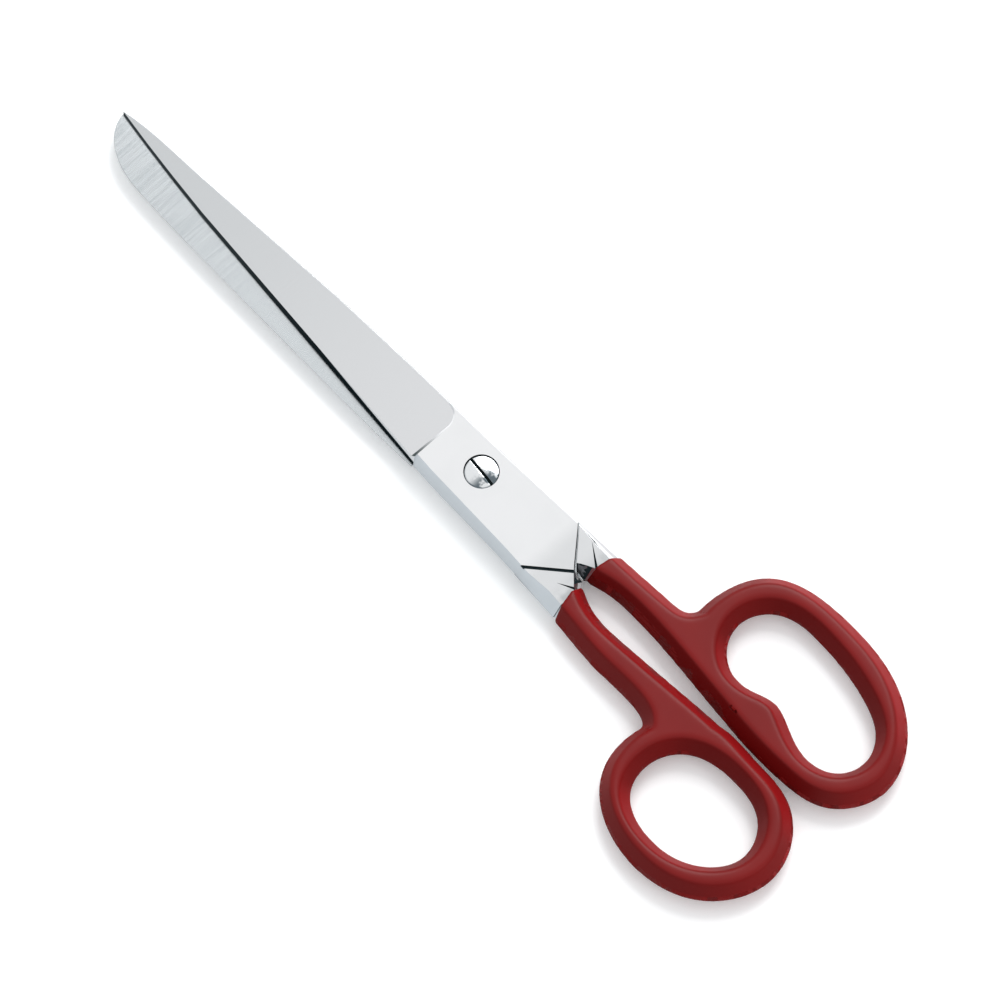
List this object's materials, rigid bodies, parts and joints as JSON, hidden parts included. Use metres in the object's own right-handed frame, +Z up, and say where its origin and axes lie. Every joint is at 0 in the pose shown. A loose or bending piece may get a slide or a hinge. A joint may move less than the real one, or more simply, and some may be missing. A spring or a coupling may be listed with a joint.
{
  "type": "fabric shears",
  "caption": "Long straight fabric shears: a pointed and a blunt steel blade on one slotted pivot screw, with a round thumb bow and a long finger bow dipped in vinyl.",
  "frame": {"origin": "on the pivot screw's axis, at the plane the closed shears lie on", "axes": "+X towards the blade points, +Y towards the side of the thumb bow, +Z up out of the screw's slotted head"},
  "size_m": [0.2297, 0.0733, 0.0086],
  "materials": {
    "steel": "bright nickel-plated forged steel, mirror-polished joint and satin-ground blades",
    "vinyl": "glossy dark red dipped vinyl",
    "screw_steel": "polished nickel-plated steel"
  },
  "bodies": {
    "lower_half": {"lower_blade": "steel", "finger_grip": "vinyl", "pivot_screw": "screw_steel", "lock_nut": "screw_steel"},
    "upper_half": {"upper_blade": "steel", "thumb_grip": "vinyl"}
  },
  "joints": [
    {"name": "shear_pivot", "type": "hinge", "parent": "lower_half", "child": "upper_half", "pos_m": [0, 0, 0.0043], "axis": [0, 0, -1], "range_deg": [0, 130]}
  ]
}
